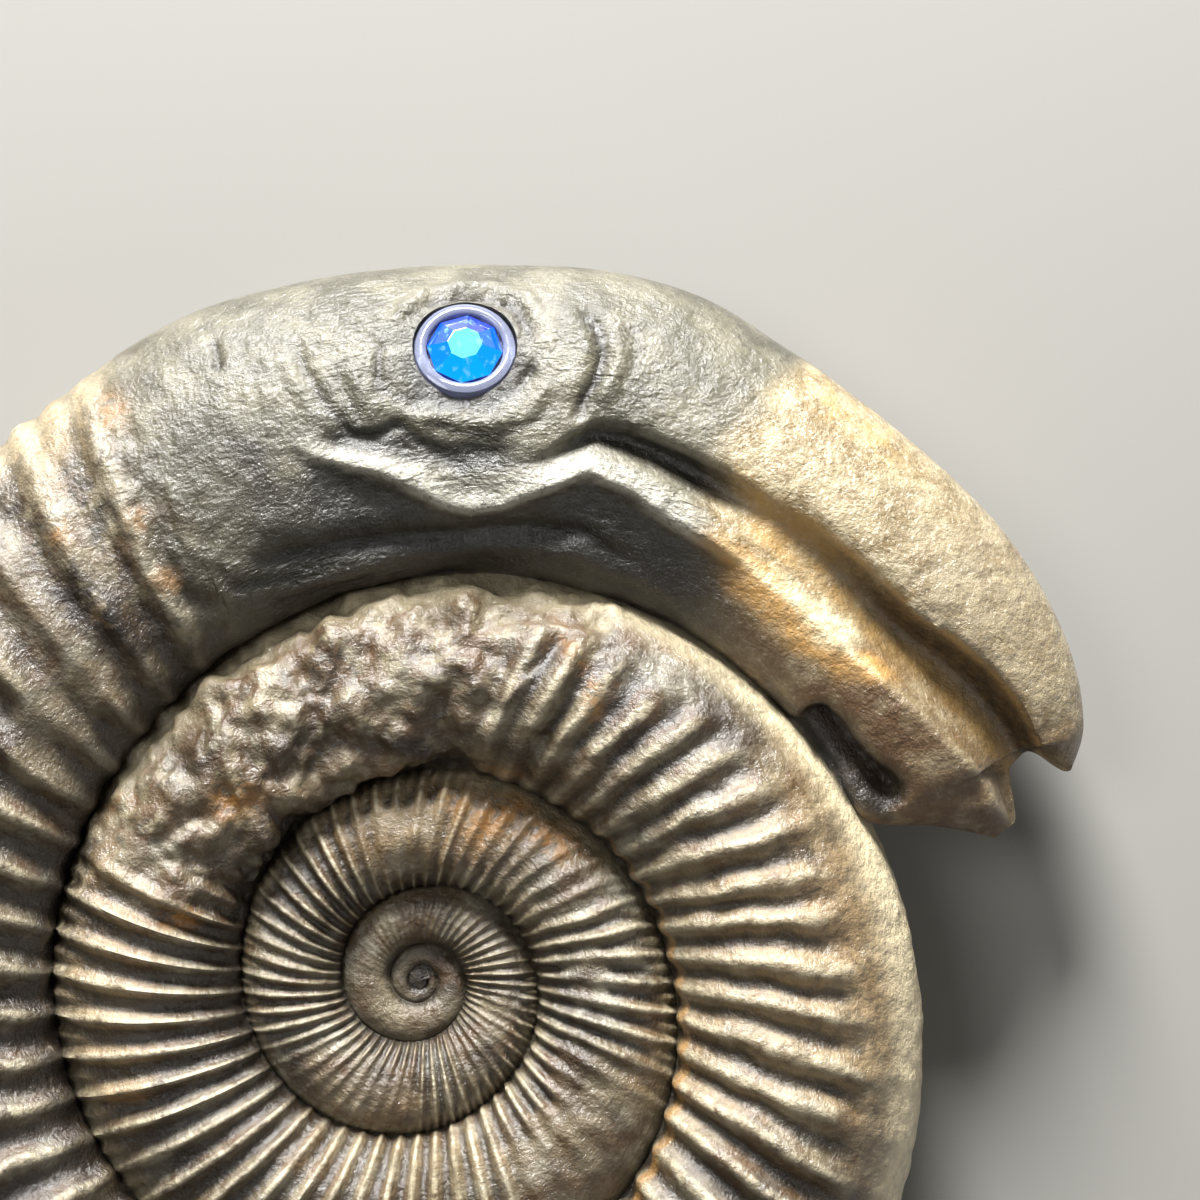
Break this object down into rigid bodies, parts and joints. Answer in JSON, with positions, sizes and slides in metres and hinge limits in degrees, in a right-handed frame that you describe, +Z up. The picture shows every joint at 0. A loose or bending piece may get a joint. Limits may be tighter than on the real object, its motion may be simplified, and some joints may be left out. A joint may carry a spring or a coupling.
{
  "type": "fossil ammonite",
  "caption": "Ribbed spiral ammonite fossil lying on its flank, the end of its last whorl carved as a snake's head with an open mouth and a faceted glass eye in each side.",
  "frame": {"origin": "bottom centre of the bounding box, on the surface that the fossil rests on", "axes": "+Z is up and runs along the axis of the coil, through both flanks. Seen from +Z, the coil grows clockwise, +Y points to the crown of the head, and +X to the side that the snout is on"},
  "size_m": [0.0744, 0.0739, 0.0147],
  "materials": {
    "waxed_stone": "grey-brown fossil stone, carved and waxed to a sheen, with worn ribs, ochre stains and a golden snout",
    "blue_glass": "faceted blue glass with a reflecting back",
    "clear_resin": "clear cast resin, slightly milky"
  },
  "bodies": {
    "root": {"ammonite": "waxed_stone", "front_eye_stone": "blue_glass", "front_eye_resin": "clear_resin", "back_eye_stone": "blue_glass", "back_eye_resin": "clear_resin"}
  },
  "joints": []
}
